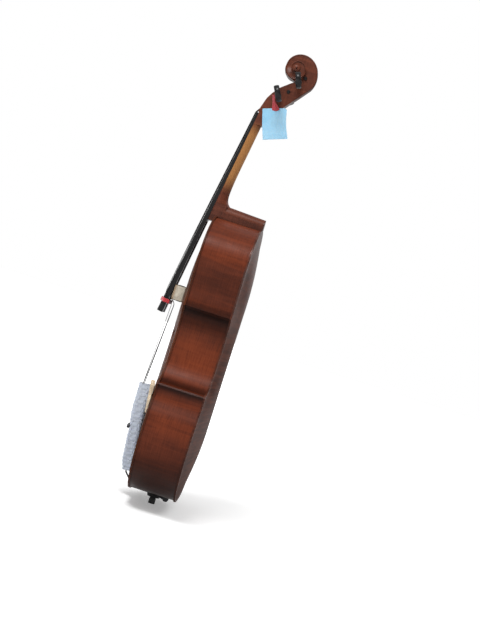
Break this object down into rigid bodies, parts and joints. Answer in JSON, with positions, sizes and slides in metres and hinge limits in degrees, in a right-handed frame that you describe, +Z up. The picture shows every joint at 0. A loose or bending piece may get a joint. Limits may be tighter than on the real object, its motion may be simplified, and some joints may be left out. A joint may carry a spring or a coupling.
{
  "type": "cello",
  "caption": "Full-size varnished cello with its bridge laid down, slack strings, wrapped tailpiece, foam pad, note and a retracted endpin.",
  "frame": {"origin": "on the endpin axis, at the bottom face of the rubber tip with the endpin fully in; mid-height of the ribs front to back", "axes": "+Z up along the body towards the scroll, +X towards the treble side, +Y towards the back"},
  "size_m": [0.4383, 0.2257, 1.2607],
  "materials": {
    "back_maple": "glossy red-brown varnish over flamed maple",
    "top_spruce": "glossy red-brown varnish over straight-grained spruce",
    "rib_maple": "glossy red-brown varnish over flamed maple",
    "neck_maple": "amber to red-brown varnish over maple",
    "inner_wood": "bare planed wood",
    "purfling": "dark inlay under varnish",
    "ebony": "polished near-black wood",
    "bridge_maple": "bare sanded maple",
    "string_steel": "flat-wound steel",
    "tail_black": "moulded black",
    "tuner_steel": "plain",
    "tuner_black": "black nickel",
    "tail_cord": "twisted nylon",
    "endpin_steel": "polished",
    "endpin_black": "satin black",
    "tip_rubber": "moulded rubber",
    "packing_foam": "cut packing foam",
    "red_elastic": "thin elastic",
    "packing_wrap": "thin cushioned film",
    "note_paper": "pale blue",
    "red_ribbon": "woven strip"
  },
  "bodies": {
    "cello": {"back_plate": "back_maple", "top_plate": "top_spruce", "top_purfling": "purfling", "back_purfling": "purfling", "saddle": "ebony", "lower_bout_rib_treble": "rib_maple", "lower_bout_rib_bass": "rib_maple", "waist_rib_treble": "rib_maple", "waist_rib_bass": "rib_maple", "upper_bout_rib_treble": "rib_maple", "upper_bout_rib_bass": "rib_maple", "top_linings": "inner_wood", "back_linings": "inner_wood", "corner_blocks": "inner_wood", "upper_block": "inner_wood", "lower_block": "inner_wood", "bass_bar": "inner_wood", "sound_post": "inner_wood", "neck": "neck_maple", "fingerboard": "ebony", "nut": "ebony", "string_a": "string_steel", "string_d": "string_steel", "string_g": "string_steel", "string_c": "string_steel", "tailpiece": "tail_black", "tuner_pin": "tuner_steel", "tail_gut": "tail_cord", "endpin_collar": "ebony", "bridge": "bridge_maple", "foam_block": "packing_foam", "red_band": "red_elastic", "tail_wrap": "packing_wrap", "paper_note": "note_paper", "red_tape": "red_ribbon"},
    "peg_a_body": {"peg_a": "ebony"},
    "peg_d_body": {"peg_d": "ebony"},
    "peg_g_body": {"peg_g": "ebony"},
    "peg_c_body": {"peg_c": "ebony"},
    "endpin": {"endpin_rod": "endpin_steel", "endpin_tip": "tip_rubber"},
    "endpin_clamp": {"endpin_screw": "endpin_black"},
    "screw_a": {"tuner_screw_a": "tuner_black"},
    "lever_a": {"tuner_lever_a": "tuner_steel"},
    "screw_d": {"tuner_screw_d": "tuner_black"},
    "lever_d": {"tuner_lever_d": "tuner_steel"},
    "screw_g": {"tuner_screw_g": "tuner_black"},
    "lever_g": {"tuner_lever_g": "tuner_steel"},
    "screw_c": {"tuner_screw_c": "tuner_black"},
    "lever_c": {"tuner_lever_c": "tuner_steel"}
  },
  "joints": [
    {"name": "peg_a_turn", "type": "hinge", "parent": "cello", "child": "peg_a_body", "pos_m": [0, -0.004, 1.134], "axis": [1, 0, 0], "continuous": true},
    {"name": "peg_d_turn", "type": "hinge", "parent": "cello", "child": "peg_d_body", "pos_m": [0, 0.037, 1.183], "axis": [1, 0, 0], "continuous": true},
    {"name": "peg_g_turn", "type": "hinge", "parent": "cello", "child": "peg_g_body", "pos_m": [0, 0.05, 1.202], "axis": [-1, 0, 0], "continuous": true},
    {"name": "peg_c_turn", "type": "hinge", "parent": "cello", "child": "peg_c_body", "pos_m": [0, 0.018, 1.155], "axis": [-1, 0, 0], "continuous": true},
    {"name": "endpin_slide", "type": "slide", "parent": "cello", "child": "endpin", "axis": [0, 0, -1], "range_m": [0, 0.42]},
    {"name": "endpin_clamp_turn", "type": "hinge", "parent": "cello", "child": "endpin_clamp", "pos_m": [0, 0.02, 0.0231], "axis": [0, 1, 0], "continuous": true},
    {"name": "screw_a_turn", "type": "hinge", "parent": "cello", "child": "screw_a", "pos_m": [0.0174, -0.10829, 0.18134], "axis": [0, 0.9969, 0.0785], "range_deg": [0, 900]},
    {"name": "lever_a_swing", "type": "hinge", "parent": "cello", "child": "lever_a", "pos_m": [0.0174, -0.10462, 0.24683], "axis": [1, 0, 0], "range_deg": [0, 1.4]},
    {"name": "screw_d_turn", "type": "hinge", "parent": "cello", "child": "screw_d", "pos_m": [0.0058, -0.10829, 0.18134], "axis": [0, 0.9969, 0.0785], "range_deg": [0, 900]},
    {"name": "lever_d_swing", "type": "hinge", "parent": "cello", "child": "lever_d", "pos_m": [0.0058, -0.10462, 0.24683], "axis": [1, 0, 0], "range_deg": [0, 1.4]},
    {"name": "screw_g_turn", "type": "hinge", "parent": "cello", "child": "screw_g", "pos_m": [-0.0058, -0.10829, 0.18134], "axis": [0, 0.9969, 0.0785], "range_deg": [0, 900]},
    {"name": "lever_g_swing", "type": "hinge", "parent": "cello", "child": "lever_g", "pos_m": [-0.0058, -0.10462, 0.24683], "axis": [1, 0, 0], "range_deg": [0, 1.4]},
    {"name": "screw_c_turn", "type": "hinge", "parent": "cello", "child": "screw_c", "pos_m": [-0.0174, -0.10829, 0.18134], "axis": [0, 0.9969, 0.0785], "range_deg": [0, 900]},
    {"name": "lever_c_swing", "type": "hinge", "parent": "cello", "child": "lever_c", "pos_m": [-0.0174, -0.10462, 0.24683], "axis": [1, 0, 0], "range_deg": [0, 1.4]}
  ],
  "couplings": [
    {"joint": "lever_a_swing", "follows": "screw_a_turn", "ratio": 0.001469},
    {"joint": "lever_d_swing", "follows": "screw_d_turn", "ratio": 0.001469},
    {"joint": "lever_g_swing", "follows": "screw_g_turn", "ratio": 0.001469},
    {"joint": "lever_c_swing", "follows": "screw_c_turn", "ratio": 0.001469}
  ]
}
